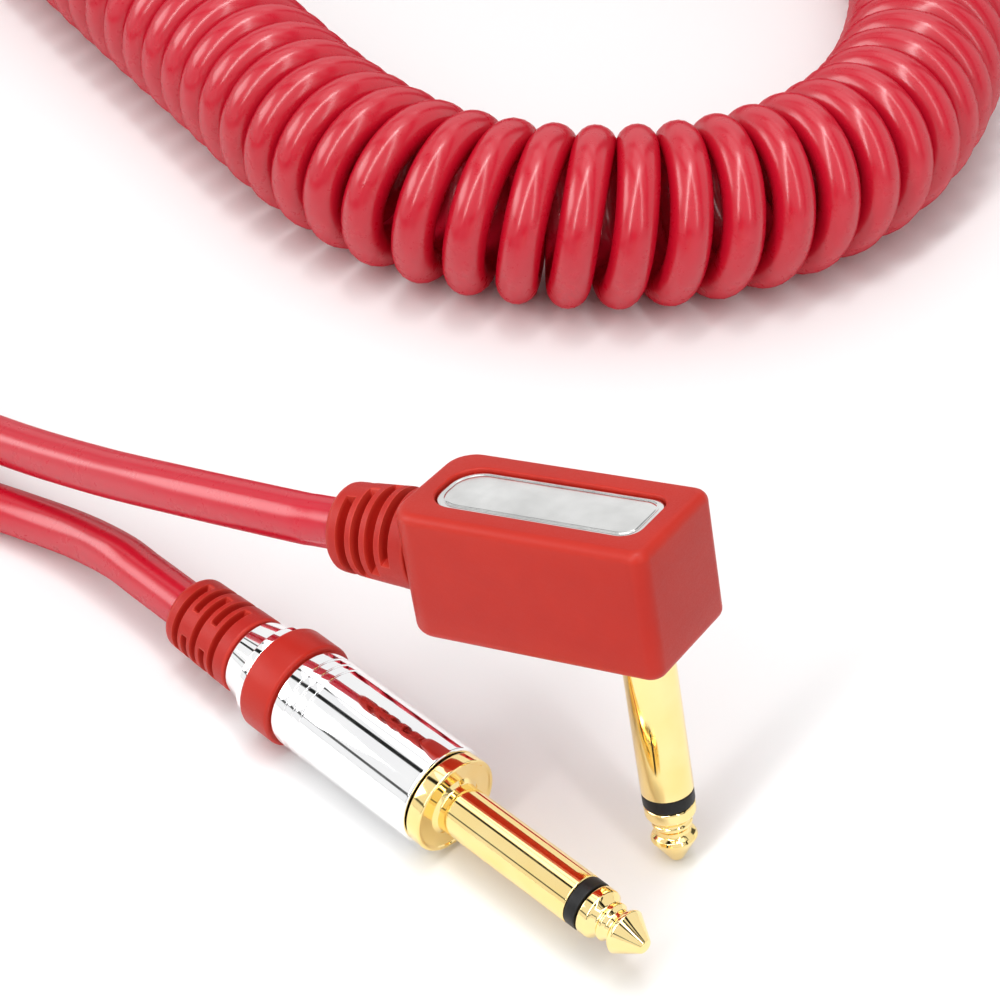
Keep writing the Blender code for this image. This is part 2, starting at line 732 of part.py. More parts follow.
def cords(straight_seat, angle_seat):
    coil_route = [(x * MM, y * MM, COIL_RADIUS) for x, y in COIL_ROUTE]
    coil = smooth_path(coil_route, COIL_STEP)
    tube("coil_cord", coil, COIL_RADIUS, "cord", None, sides=4)
    tail(
        "straight_tail_cord",
        straight_seat.matrix_world @ Vector((0.0, 0.0, BOOT_REAR - CORD_GAP)),
        straight_seat.matrix_world.to_3x3() @ Vector((0.0, 0.0, -1.0)),
        STRAIGHT_LEAD,
        STRAIGHT_ROUTE,
    )
    boot_end = HOUSING_LENGTH - PIN_TO_END + GAP + ANGLE_BOOT_LENGTH + CORD_GAP
    tail(
        "angle_tail_cord",
        angle_seat.matrix_world @ Vector((boot_end, 0.0, -CORD_DEPTH)),
        angle_seat.matrix_world.to_3x3() @ Vector((1.0, 0.0, 0.0)),
        ANGLE_LEAD,
        ANGLE_ROUTE,
    )


PARTS = None
CUTTERS = None


def build():
    global PARTS, CUTTERS
    clear_scene()
    PARTS = collection("instrument_cable")
    CUTTERS = collection("cutters")
    straight_seat = straight_plug()
    angle_seat = angle_plug()
    bpy.context.view_layer.update()
    cords(straight_seat, angle_seat)


build()
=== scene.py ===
import json
import math

import bmesh
import bpy
import numpy as np
from mathutils import Euler, Matrix, Vector


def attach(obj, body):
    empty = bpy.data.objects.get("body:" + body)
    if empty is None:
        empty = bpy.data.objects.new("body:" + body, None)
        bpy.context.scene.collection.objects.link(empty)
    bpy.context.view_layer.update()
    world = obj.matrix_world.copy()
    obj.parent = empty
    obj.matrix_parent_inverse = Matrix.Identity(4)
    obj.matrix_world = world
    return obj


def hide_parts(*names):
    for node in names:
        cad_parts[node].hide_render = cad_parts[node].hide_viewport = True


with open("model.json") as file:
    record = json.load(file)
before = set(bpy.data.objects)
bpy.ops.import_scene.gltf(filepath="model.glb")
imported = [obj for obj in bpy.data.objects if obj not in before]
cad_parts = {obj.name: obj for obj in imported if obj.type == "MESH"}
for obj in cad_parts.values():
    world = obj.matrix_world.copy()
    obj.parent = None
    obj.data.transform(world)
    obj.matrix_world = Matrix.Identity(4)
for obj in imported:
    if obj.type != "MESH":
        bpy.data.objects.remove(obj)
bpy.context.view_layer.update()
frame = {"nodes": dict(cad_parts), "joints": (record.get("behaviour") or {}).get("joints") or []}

MM = 0.001

# --- Sizes that the CAD model shares ---

GAP = 0.15 * MM
CORD_RADIUS = 3.2 * MM
PIN_LENGTH = 30.5 * MM
SHELL_FRONT = -2.15 * MM
SHELL_REAR = -25.65 * MM
ID_RING_FRONT = SHELL_REAR - GAP
ID_RING_REAR = ID_RING_FRONT - 5.0 * MM
BUSHING_FRONT = ID_RING_REAR - GAP
BUSHING_REAR = BUSHING_FRONT - 4.8 * MM
BOOT_FRONT = BUSHING_REAR - GAP
BOOT_REAR = BOOT_FRONT - 12.0 * MM
HOUSING_LOW = (-6.5 * MM, -8.25 * MM)
HOUSING_HIGH = (27.5 * MM, 8.25 * MM)
HOUSING_HEIGHT = 16.5 * MM
CORD_DEPTH = 8.25 * MM
ANGLE_BOOT_FRONT = HOUSING_HIGH[0] + GAP
ANGLE_BOOT_REAR = ANGLE_BOOT_FRONT + 12.0 * MM

# How far round each boot its first row of slots is, and each next row from the last
STRAIGHT_SLOTS = (0.9, math.pi / 2)
ANGLE_SLOTS = (0.46, 0.35)

# Where each plug's seat is: +Z of a plug's own space runs along its pin to the tip
STRAIGHT_SEAT = Vector(next(j["pos_m"] for j in frame["joints"] if j["name"] == "shell_turn"))
STRAIGHT = Matrix.LocRotScale(STRAIGHT_SEAT, Euler((0.0, math.pi / 2, 0.0)), None)
ANGLE_TURN = Euler([math.radians(turn) for turn in (-174.5, 13.5, -165.5)])
ANGLE_TIP = Vector((28.7, 6.8, 0.4)) * MM
ANGLE_SEAT = ANGLE_TIP - ANGLE_TURN.to_matrix() @ Vector((0.0, 0.0, PIN_LENGTH))
ANGLE = Matrix.LocRotScale(ANGLE_SEAT, ANGLE_TURN, None)
GLAND = ANGLE @ Matrix.LocRotScale((0.0, 0.0, -CORD_DEPTH), Euler((0.0, -math.pi / 2, 0.0)), None)

# The cord's route, in millimetres, as the CAD model has it
STRAIGHT_LEAD = 15.0
ANGLE_LEAD = 8.0
STRAIGHT_ROUTE = (
    (-62.6, -10.7, 5.6), (-72.1, -12.3, 4.2), (-82.4, -15.2, 3.5), (-95.4, -19.5, 3.4),
    (-114.2, -24.4, 3.4), (-133.5, -26.1, 3.4), (-153.3, -26.3, 3.4), (-178.8, -19.2, 3.4),
    (-204.2, -7.9, 3.4), (-227.2, 5.9, 3.4), (-245.9, 22.5, 3.4), (-259.4, 41.6, 3.4),
    (-266.4, 62.8, 3.4), (-266.4, 84.1, 3.4), (-259.4, 103.9, 3.4), (-246.6, 120.8, 3.4),
    (-231.4, 135.0, 3.4),
)
ANGLE_ROUTE = (
    (-45.4, -6.9, 21.6), (-60.8, -8.4, 16.8), (-78.6, -9.8, 12.0), (-97.4, -10.7, 8.0),
    (-117.6, -10.3, 5.2), (-138.5, -8.6, 3.8), (-160.4, -5.0, 3.4), (-182.3, 1.3, 3.4),
    (-204.2, 10.5, 3.4), (-223.3, 21.1, 3.4), (-238.2, 33.1, 3.4), (-247.7, 46.9, 3.4),
    (-250.9, 61.4, 3.4), (-247.6, 74.4, 3.4), (-240.6, 82.5, 3.4),
)
COIL_ROUTE = (
    (-238.9, 83.3), (-225.8, 87.9), (-209.5, 89.4), (-191.5, 87.6), (-171.7, 83.3), (-151.0, 79.2),
    (-127.4, 74.7), (-103.9, 70.1), (-85.1, 69.9), (-71.6, 74.0), (-60.1, 81.4), (-51.0, 91.3),
    (-44.7, 103.4), (-41.8, 116.7), (-42.4, 130.2), (-46.3, 143.3), (-52.7, 156.4), (-61.7, 170.0),
    (-73.2, 184.0), (-87.3, 196.7), (-103.7, 206.5), (-121.8, 211.7), (-140.6, 211.3),
    (-158.8, 204.8), (-175.4, 193.9), (-190.6, 180.8), (-205.3, 165.7), (-217.9, 150.7),
    (-230.0, 136.1),
)

# The curly cord's turns
TURN_RADIUS = 10.6 * MM
TURN_GAP = 0.15 * MM
TURN_SQUEEZE = 0.86
TURN_POINTS = 40
OPENING = 42.0 * MM
OPEN_PITCH = 70.0 * MM
FLOOR_CLEARANCE = 0.2 * MM

# The studio's white surround: how bright it is for matt and for shiny things, and the dark seams
# between its panels, as (angle, half width, depth), the angles in degrees about X and about Z
SURROUND = 0.45
SURROUND_SHINE = 0.95
SEAM_SOFTNESS = 1.5
SEAMS_OVERHEAD = ((65.0, 5.0, 0.98), (86.0, 1.4, 0.97), (108.0, 3.4, 0.98), (163.0, 2.0, 0.9))
SEAMS_UPRIGHT = ((-75.0, 4.0, 0.85), (12.0, 4.0, 0.85), (97.0, 6.0, 0.9))


# --- Meshes ---


def skin(name, rows, place, body, look, loop=False, caps=True, sharp=40):
    """A piece over rows of points that each close on themselves. Its UV map is in metres: across
    the rows in U, and from row to row in V."""
    rows = np.asarray(rows, float)
    count, sides = rows.shape[:2]
    spans = count if loop else count - 1
    grid = np.arange(count * sides).reshape(count, sides)
    a = grid[np.arange(spans)]
    b = grid[(np.arange(spans) + 1) % count]
    quads = np.stack([a, np.roll(a, -1, 1), np.roll(b, -1, 1), b], -1).reshape(-1, 4)
    faces = quads.tolist()
    if caps and not loop:
        faces.append(grid[0][::-1].tolist())
        faces.append(grid[-1].tolist())
    mesh = bpy.data.meshes.new(name)
    mesh.from_pydata(rows.reshape(-1, 3).tolist(), [], faces)
    around = np.linalg.norm(np.roll(rows, -1, 1) - rows, axis=2).mean(0)
    u = np.r_[0.0, np.cumsum(around)]
    v = np.r_[0.0, np.cumsum(np.linalg.norm(np.roll(rows, -1, 0) - rows, axis=2).max(1))]
    corners = np.zeros((len(mesh.loops), 2))
    first_u, first_v = np.meshgrid(np.arange(sides), np.arange(spans))
    quad_u = np.stack([u[first_u], u[first_u + 1], u[first_u + 1], u[first_u]], -1)
    quad_v = np.stack([v[first_v], v[first_v], v[first_v + 1], v[first_v + 1]], -1)
    corners[: quads.size, 0] = quad_u.reshape(-1)
    corners[: quads.size, 1] = quad_v.reshape(-1)
    mesh.uv_layers.new(name="metres").data.foreach_set("uv", corners.reshape(-1))
    work = bmesh.new()
    work.from_mesh(mesh)
    bmesh.ops.remove_doubles(work, verts=work.verts, dist=1e-7)
    bmesh.ops.recalc_face_normals(work, faces=work.faces)
    work.to_mesh(mesh)
    work.free()
    mesh.transform(place)
    mesh.polygons.foreach_set("use_smooth", [True] * len(mesh.polygons))
    mesh.set_sharp_from_angle(angle=math.radians(sharp))
    mark_edges(mesh)
    mesh.materials.append(look)
    piece = bpy.data.objects.new(name, mesh)
    bpy.context.scene.collection.objects.link(piece)
    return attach(piece, body)


def mark_edges(mesh):
    """A point attribute, edge, from 0 on flat and hollow places to 1 on sharp outer edges."""
    places = np.zeros(len(mesh.vertices) * 3)
    mesh.vertices.foreach_get("co", places)
    places = places.reshape(-1, 3)
    normals = np.zeros(len(mesh.vertices) * 3)
    mesh.vertices.foreach_get("normal", normals)
    normals = normals.reshape(-1, 3)
    pairs = np.zeros(len(mesh.edges) * 2, int)
    mesh.edges.foreach_get("vertices", pairs)
    a, b = pairs.reshape(-1, 2).T
    step = places[b] - places[a]
    step /= np.maximum(np.linalg.norm(step, axis=1), 1e-9)[:, None]
    lean = np.zeros(len(places))
    np.add.at(lean, a, np.maximum(-(step * normals[a]).sum(1), 0))
    np.add.at(lean, b, np.maximum((step * normals[b]).sum(1), 0))
    share = np.zeros(len(places))
    np.add.at(share, a, 1)
    np.add.at(share, b, 1)
    worn = np.clip(lean / np.maximum(share, 1) * 4, 0, 1)
    mesh.attributes.new("edge", "FLOAT", "POINT").data.foreach_set("value", worn)


def rounded(points, steps=6):
    """An outline of (radius, height) points in millimetres. A third number rounds that corner."""
    out = []
    for index, point in enumerate(points):
        here = Vector(point[:2])
        if len(point) == 2:
            out.append(here)
            continue
        back = (Vector(points[index - 1][:2]) - here).normalized()
        ahead = (Vector(points[(index + 1) % len(points)][:2]) - here).normalized()
        half = back.angle(ahead) / 2
        centre = here + (back + ahead).normalized() * (point[2] / math.sin(half))
        first = here + back * (point[2] / math.tan(half)) - centre
        last = here + ahead * (point[2] / math.tan(half)) - centre
        turn = math.atan2(first.x * last.y - first.y * last.x, first.dot(last))
        for k in range(steps + 1):
            out.append(centre + Matrix.Rotation(turn * k / steps, 2) @ first)
    return [(max(p.x, 0.0) * MM, p.y * MM) for p in out]


def turned(name, points, place, body, look, bored=True, sides=96, sharp=40):
    """A turned piece from an outline in millimetres. A bored one's outline closes on itself."""
    angles = np.arange(sides) * 2 * math.pi / sides
    rows = [
        np.column_stack([r * np.cos(angles), r * np.sin(angles), np.full(sides, z)])
        for r, z in rounded(points)
    ]
    return skin(name, rows, place, body, look, loop=bored, caps=False, sharp=sharp)


def plan(low, high, low_round, high_round, height, steps=10):
    """A rectangle from low to high, rounded by low_round at its low X end and by high_round at
    its high X end, as a row of points at one height."""
    row = []
    corners = (
        (high[0], high[1], high_round, 0),
        (low[0], high[1], low_round, 1),
        (low[0], low[1], low_round, 2),
        (high[0], low[1], high_round, 3),
    )
    for x, y, radius, quarter in corners:
        centre_x = x - radius if x == high[0] else x + radius
        centre_y = y - radius if y == high[1] else y + radius
        for k in range(steps + 1):
            angle = (quarter + k / steps) * math.pi / 2
            across, along = radius * math.cos(angle), radius * math.sin(angle)
            row.append((centre_x + across, centre_y + along, height))
    return row


# --- Materials ---


class Shader:
    """A Principled material built from nodes."""

    def __init__(self, name, roughness, metallic=0.0, **fixed):
        self.material = bpy.data.materials.new(name)
        self.material.use_nodes = True
        self.tree = self.material.node_tree
        self.principled = self.tree.nodes["Principled BSDF"]
        self.set("Roughness", roughness)
        self.set("Metallic", metallic)
        for socket, value in fixed.items():
            self.set(socket.replace("_", " "), value)

    def set(self, socket, value):
        """Gives the shader's socket a plain value, or joins it to a node's output."""
        if isinstance(value, bpy.types.NodeSocket):
            self.tree.links.new(value, self.principled.inputs[socket])
        else:
            self.principled.inputs[socket].default_value = value

    def add(self, kind, **values):
        node = self.tree.nodes.new(kind)
        for key, value in values.items():
            setattr(node, key, value)
        return node

    def feed(self, node, socket, value):
        if isinstance(value, bpy.types.NodeSocket):
            self.tree.links.new(value, node.inputs[socket])
        else:
            node.inputs[socket].default_value = value

    def places(self, scale=(1.0, 1.0, 1.0), uv=False):
        """Row-frame metres, or the piece's own UV metres, stretched by scale."""
        if uv:
            source = self.add("ShaderNodeUVMap", uv_map="metres").outputs["UV"]
        else:
            source = self.add("ShaderNodeTexCoord").outputs["Object"]
        mapping = self.add("ShaderNodeMapping")
        self.feed(mapping, "Vector", source)
        mapping.inputs["Scale"].default_value = scale
        return mapping.outputs["Vector"]

    def noise(self, places, scale, detail=3.0, rough=0.5):
        node = self.add("ShaderNodeTexNoise")
        self.feed(node, "Vector", places)
        self.feed(node, "Scale", scale)
        self.feed(node, "Detail", detail)
        self.feed(node, "Roughness", rough)
        return node.outputs["Fac"]

    def spread(self, value, low, high, to_low, to_high):
        """Carries low..high to to_low..to_high."""
        node = self.add("ShaderNodeMapRange")
        for socket, number in zip(
            ("Value", "From Min", "From Max", "To Min", "To Max"),
            (value, low, high, to_low, to_high),
            strict=True,
        ):
            self.feed(node, socket, number)
        return node.outputs["Result"]

    def mix(self, share, first, second):
        """A colour between two, by share."""
        node = self.add("ShaderNodeMix", data_type="RGBA")
        self.feed(node, 0, share)
        for socket, colour in ((6, first), (7, second)):
            if not isinstance(colour, bpy.types.NodeSocket):
                colour = (*colour, 1.0)
            self.feed(node, socket, colour)
        return node.outputs[2]

    def facing(self):
        """0 where the surface is seen square on and 1 where it turns away."""
        return self.add("ShaderNodeLayerWeight").outputs["Facing"]

    def attribute(self, name):
        return self.add("ShaderNodeAttribute", attribute_name=name).outputs["Fac"]

    def bump(self, height, depth, strength=1.0, onto=None):
        """Relief of depth metres, on top of another relief if onto names one."""
        node = self.add("ShaderNodeBump")
        self.feed(node, "Strength", strength)
        self.feed(node, "Distance", depth)
        self.feed(node, "Height", height)
        if onto is not None:
            self.feed(node, "Normal", onto)
        return node.outputs["Normal"]


def cord_look():
    """Satin red PVC with faint draw lines along it and a fine orange-peel surface."""
    look = Shader("cord_pvc", 0.30, Coat_Roughness=0.20)
    broad = look.noise(look.places(), 22.0, 2.0)
    dusty = look.noise(look.places(), 500.0, 4.0, 0.6)
    tone = look.spread(broad, 0.3, 0.7, 0.0, 1.0)
    colour = look.mix(tone, (0.53, 0.004, 0.020), (0.56, 0.005, 0.024))
    scuffed = look.mix(look.spread(dusty, 0.60, 0.80, 0.0, 0.07), colour, (0.70, 0.07, 0.11))
    look.set("Base Color", scuffed)
    look.set("Roughness", look.spread(dusty, 0.3, 0.75, 0.26, 0.32))
    look.set("Coat Weight", look.spread(look.facing(), 0.40, 0.80, 0.75, 0.0))
    look.set("Specular IOR Level", look.spread(look.facing(), 0.40, 0.80, 0.30, 0.02))
    drawn = look.noise(look.places((1400.0, 6.0, 1.0), uv=True), 1.0, 2.0)
    peel = look.noise(look.places(), 1800.0, 1.0)
    look.set("Normal", look.bump(peel, 0.010 * MM, 0.2, look.bump(drawn, 0.012 * MM, 0.25)))
    return look.material


def moulded_look(name, dark, light, worn, rough):
    """Moulded red rubber or plastic: a fine matt grain, uneven tone and paler, rubbed edges."""
    look = Shader(name, rough, Specular_IOR_Level=0.3)
    broad = look.noise(look.places(), 140.0)
    grain = look.noise(look.places(), 5200.0, 3.0, 0.6)
    colour = look.mix(look.spread(broad, 0.3, 0.7, 0.0, 1.0), dark, light)
    rubbed = look.spread(look.attribute("edge"), 0.12, 0.85, 0.0, 0.75)
    look.set("Base Color", look.mix(rubbed, colour, worn))
    look.set("Roughness", look.spread(grain, 0.3, 0.7, rough - 0.07, rough + 0.09))
    flow = look.noise(look.places((1.0, 1.0, 3.0)), 420.0, 2.0)
    look.set("Normal", look.bump(grain, 0.03 * MM, 0.45, look.bump(flow, 0.06 * MM, 0.35)))
    return look.material


def metal_look(name, colour, tint, rough, turning=0.0, scratch=0.3):
    """Plated metal: faint turning marks round the piece, fine scratches and uneven polish."""
    look = Shader(name, rough, 1.0)
    broad = look.noise(look.places(), 180.0, 2.0)
    look.set("Base Color", look.mix(look.spread(broad, 0.3, 0.7, 0.0, 1.0), colour, tint))
    hair = look.noise(look.places((900.0, 12000.0, 1.0), uv=True), 1.0, 3.0, 0.7)
    smudge = look.noise(look.places(), 320.0, 3.0, 0.6)
    polish = look.spread(smudge, 0.45, 0.75, rough, rough + 0.06)
    look.set("Roughness", polish)
    marks = look.noise(look.places((3.0, 9000.0, 1.0), uv=True), 1.0, 2.0)
    lines = look.bump(marks, 0.004 * MM, turning)
    look.set("Normal", look.bump(hair, 0.0025 * MM, scratch, lines))
    return look.material


def plain_look(name, dark, light, rough, metallic=0.0, grain=1500.0, depth=0.02):
    """A hidden or small piece's material: grain in its tone, its gloss and its relief."""
    look = Shader(name, rough, metallic, Specular_IOR_Level=0.3)
    fleck = look.noise(look.places(), grain, 4.0, 0.6)
    look.set("Base Color", look.mix(look.spread(fleck, 0.3, 0.7, 0.0, 1.0), dark, light))
    look.set("Roughness", look.spread(fleck, 0.25, 0.75, rough - 0.06, rough + 0.10))
    look.set("Normal", look.bump(fleck, depth * MM, 0.5))
    return look.material


def plate_look():
    """Polished silver with faint brushing along the plate."""
    look = Shader("nameplate_silver", 0.2, 1.0)
    brushed = look.noise(look.places((9000.0, 60.0, 1.0), uv=True), 1.0, 3.0, 0.7)
    broad = look.noise(look.places(), 220.0, 2.0)
    tone = look.spread(broad, 0.3, 0.7, 0.0, 1.0)
    look.set("Base Color", look.mix(tone, (0.70, 0.70, 0.69), (0.84, 0.84, 0.83)))
    look.set("Roughness", look.spread(brushed, 0.3, 0.7, 0.13, 0.22))
    look.set("Normal", look.bump(look.noise(look.places(), 900.0, 2.0), 0.004 * MM, 0.15))
    return look.material


def floor_look():
    look = Shader("floor_white", 0.55, Specular_IOR_Level=0.2)
    tone = look.spread(look.noise(look.places(), 6.0, 2.0), 0.3, 0.7, 0.0, 1.0)
    look.set("Base Color", look.mix(tone, (0.90, 0.90, 0.90), (0.93, 0.93, 0.93)))
    return look.material


LOOKS = {
    "cord": cord_look(),
    "housing": moulded_look(
        "housing_red", (0.44, 0.012, 0.004), (0.48, 0.015, 0.005),
        (0.62, 0.045, 0.026), 0.42,
    ),
    "rubber": moulded_look(
        "rubber_red", (0.43, 0.012, 0.007), (0.48, 0.017, 0.009),
        (0.62, 0.05, 0.03), 0.46,
    ),
    "chrome": metal_look("chrome_plate", (0.93, 0.93, 0.94), (0.96, 0.96, 0.96), 0.04, 0.10, 0.10),
    "gold": metal_look("gold_plate", (0.98, 0.74, 0.30), (1.0, 0.80, 0.38), 0.06, 0.12, 0.10),
    "plate": plate_look(),
    "black": plain_look(
        "insulator_black", (0.004, 0.004, 0.004), (0.009, 0.009, 0.010),
        0.42, grain=2500.0,
    ),
    "phenolic": plain_look(
        "phenolic_brown", (0.13, 0.065, 0.028), (0.22, 0.12, 0.055),
        0.55, grain=1800.0,
    ),
    "brass": plain_look(
        "brass_terminal", (0.62, 0.43, 0.16), (0.74, 0.55, 0.24),
        0.32, 1.0, 900.0, 0.01,
    ),
    "copper": plain_look(
        "copper_wire", (0.68, 0.30, 0.16), (0.80, 0.42, 0.24),
        0.38, 1.0, 4000.0, 0.05,
    ),
    "clear": plain_look(
        "wire_insulation", (0.66, 0.65, 0.60), (0.76, 0.75, 0.71),
        0.38, grain=1200.0,
    ),
    "steel": plain_look(
        "steel_sheet", (0.50, 0.51, 0.52), (0.60, 0.60, 0.61),
        0.34, 1.0, 700.0, 0.01,
    ),
}

HIDDEN_PIECES = {
    "straight_rear_insulator": "phenolic",
    "straight_sleeve_lug": "brass",
    "straight_tip_lug": "brass",
    "straight_centre_wire": "clear",
    "straight_shield_pigtail": "copper",
    "straight_liner": "clear",
    "straight_chuck": "black",
    "straight_cord_end": "cord",
    "angle_rear_insulator": "phenolic",
    "angle_sleeve_lug": "brass",
    "angle_tip_lug": "brass",
    "angle_fixing_nut": "steel",
    "angle_inner_case": "steel",
    "angle_case_cover": "steel",
    "angle_cable_clamp": "brass",
    "angle_centre_wire": "clear",
    "angle_shield_pigtail": "copper",
    "angle_cord_end": "cord",
}


def dress_hidden_pieces():
    """The CAD nodes that stay as they are, inside the plugs, get their materials."""
    for name, look in HIDDEN_PIECES.items():
        mesh = frame["nodes"][name].data
        mesh.materials.clear()
        mesh.materials.append(LOOKS[look])


# --- The cord ---


def smooth_path(route, spacing, after, before=None):
    """Points an even spacing apart on the Catmull-Rom curve through the route. The point after
    it, and the one before it where given, only shape its ends."""
    route = np.asarray(route, float)
    before = 2 * route[0] - route[1] if before is None else before
    pts = np.array([before, *route, after])
    t = np.arange(24)[:, None] / 24
    fine = []
    for a, b, c, d in zip(pts, pts[1:], pts[2:], pts[3:], strict=False):
        square, cube = 2 * a - 5 * b + 4 * c - d, 3 * b - a - 3 * c + d
        fine.append(0.5 * (2 * b + (c - a) * t + square * t**2 + cube * t**3))
    return evenly(np.vstack([*fine, route[-1:]]), spacing)


def lengths(path):
    return np.r_[0.0, np.cumsum(np.linalg.norm(np.diff(path, axis=0), axis=1))]


def evenly(path, spacing):
    along = lengths(path)
    want = np.linspace(0.0, along[-1], round(along[-1] / spacing) + 1)
    return np.column_stack([np.interp(want, along, path[:, k]) for k in range(3)])


def smoothstep(x):
    x = np.clip(x, 0.0, 1.0)
    return x * x * (3 - 2 * x)


def on_floor(route):
    """A route's points in metres, at the height of its cord's middle where it lies on the floor."""
    return [(p[0] * MM, p[1] * MM, CORD_RADIUS + FLOOR_CLEARANCE) for p in route]


def coil_path():
    """The helix along the coil's axis. Its turns touch on the inner side of the curve, and the
    last one at each end opens out and runs onto the floor."""
    step = 0.5 * MM
    route, (before, after) = on_floor(COIL_ROUTE), on_floor([ANGLE_ROUTE[-2], STRAIGHT_ROUTE[-2]])
    axis = smooth_path(route, step, after, before)
    along = lengths(axis)
    ahead = np.gradient(axis, along, axis=0)
    heading = np.unwrap(np.arctan2(ahead[:, 1], ahead[:, 0]))
    reach = 30
    window = np.hanning(2 * reach + 1)
    bend = np.pad(np.abs(np.gradient(heading, along)), reach, "edge")
    bend = np.convolve(bend, window / window.sum(), "valid")
    diameter = 2 * CORD_RADIUS
    pitch = np.maximum(diameter + TURN_GAP, TURN_SQUEEZE * diameter / (1 - TURN_RADIUS * bend))
    wound = smoothstep(np.minimum(along, along[-1] - along) / OPENING)
    pitch = pitch + (OPEN_PITCH - pitch) * (1 - wound)
    radius = TURN_RADIUS * wound
    phase = np.r_[0.0, np.cumsum(2 * math.pi * np.diff(along) / ((pitch[1:] + pitch[:-1]) / 2))]
    want = np.linspace(0.0, phase[-1], round(phase[-1] / (2 * math.pi) * TURN_POINTS))

    def at(values):
        return np.interp(want, phase, values)

    side = np.column_stack([-np.sin(heading), np.cos(heading), np.zeros(len(heading))])
    side = np.column_stack([at(side[:, k]) for k in range(3)])
    middle = np.column_stack([at(axis[:, 0]), at(axis[:, 1]), at(axis[:, 2] + radius)])
    turned_out = np.cos(want)[:, None] * side - np.sin(want)[:, None] * np.array([0, 0, 1])
    return middle + at(radius)[:, None] * turned_out


def tail_path(place, start, direction, lead, route, coil_end):
    """From a plug's boot: straight out, then along the route and into the coil."""
    first = place @ Vector(start)
    lead = place.to_3x3() @ Vector(direction) * (lead * MM)
    end, after = on_floor(coil_end)
    straight = [first + lead * share for share in (0.0, 1 / 3, 2 / 3, 1.0)]
    path = [*straight, *(Vector(p) * MM for p in route[:-1]), end]
    return smooth_path(path, 1.5 * MM, after)


def cord_path():
    back, sideways = (0.0, 0.0, -1.0), (1.0, 0.0, 0.0)
    start = (0.0, 0.0, BOOT_REAR)
    straight = tail_path(STRAIGHT, start, back, STRAIGHT_LEAD, STRAIGHT_ROUTE, COIL_ROUTE[:-3:-1])
    start = (ANGLE_BOOT_REAR, 0.0, -CORD_DEPTH)
    angle = tail_path(ANGLE, start, sideways, ANGLE_LEAD, ANGLE_ROUTE, COIL_ROUTE[:2])
    return np.vstack([straight[:-1], coil_path()[::-1], angle[-2::-1]])


def tube_rows(path, radius, sides):
    """Rings of points round the path, turned as little as possible from one to the next."""
    ahead = np.gradient(path, axis=0)
    ahead /= np.linalg.norm(ahead, axis=1)[:, None]
    angles = np.arange(sides) * 2 * math.pi / sides
    across = np.cross(ahead[0], (0.0, 0.0, 1.0))
    rows = []
    for place, along in zip(path, ahead, strict=True):
        across = across - along * across.dot(along)
        across /= np.linalg.norm(across)
        up = np.cross(along, across)
        ring = np.cos(angles)[:, None] * across + np.sin(angles)[:, None] * up
        rows.append(place + ring * radius)
    return rows


def make_cord():
    path = cord_path()
    piece = skin("curly_cord", tube_rows(path, CORD_RADIUS, 20), Matrix(), "cable", LOOKS["cord"])
    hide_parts("straight_tail_cord", "coil_cord", "angle_tail_cord")
    print(f"cord length {lengths(path)[-1]:.3f} m")


# --- The plugs ---


def pin(prefix, place, sleeve_outline):
    """Tip, black ring and sleeve. The sleeve's outline, in millimetres, differs between plugs."""
    base = 22.3
    tip = [
        (0.0, 30.5),
        (0.85, 30.47, 0.35),
        (2.86, base + 5.05, 0.3),
        (2.62, base + 4.55, 0.2),
        (2.05, base + 4.2, 0.35),
        (2.05, base + 3.55, 0.3),
        (2.45, base + 3.1, 0.2),
        (2.45, base + 2.75, 0.2),
        (2.1, base + 2.45, 0.3),
        (3.1, base + 1.55, 0.7),
        (3.1, base + 0.25, 0.25),
        (2.7, base, 0.2),
        (1.0, base),
        (0.0, base),
    ]
    piece = turned(prefix + "_tip_plated", tip, place, "cable", LOOKS["gold"], bored=False)
    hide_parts(prefix + "_tip")
    ring = [(3.13, 22.25, 0.12), (3.13, 20.68, 0.12), (2.05, 20.68), (2.05, 22.25)]
    piece = turned(prefix + "_ring_insulator", ring, place, "cable", LOOKS["black"])
    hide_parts(prefix + "_tip_insulator")
    piece = turned(prefix + "_sleeve_plated", sleeve_outline, place, "cable", LOOKS["gold"])
    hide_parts(prefix + "_sleeve")


def straight_pin():
    sleeve = [
        (3.175, 20.6, 0.18),
        (3.175, 0.35, 0.25),
        (3.75, 0.0, 0.12),
        (5.55, 0.0, 0.1),
        (5.75, 0.18, 0.1),
        (6.2, 0.18, 0.25),
        (6.2, -1.9, 0.3),
        (5.25, -2.0),
        (5.25, -9.0),
        (2.2, -9.0),
        (2.2, 20.6),
    ]
    pin("straight", STRAIGHT, sleeve)


def angle_pin():
    sleeve = [
        (3.175, 20.6, 0.18),
        (3.175, -1.9),
        (4.5, -1.9),
        (4.5, -2.9),
        (3.6, -2.9),
        (3.6, -6.2),
        (2.2, -6.2),
        (2.2, 20.6),
    ]
    pin("angle", ANGLE, sleeve)


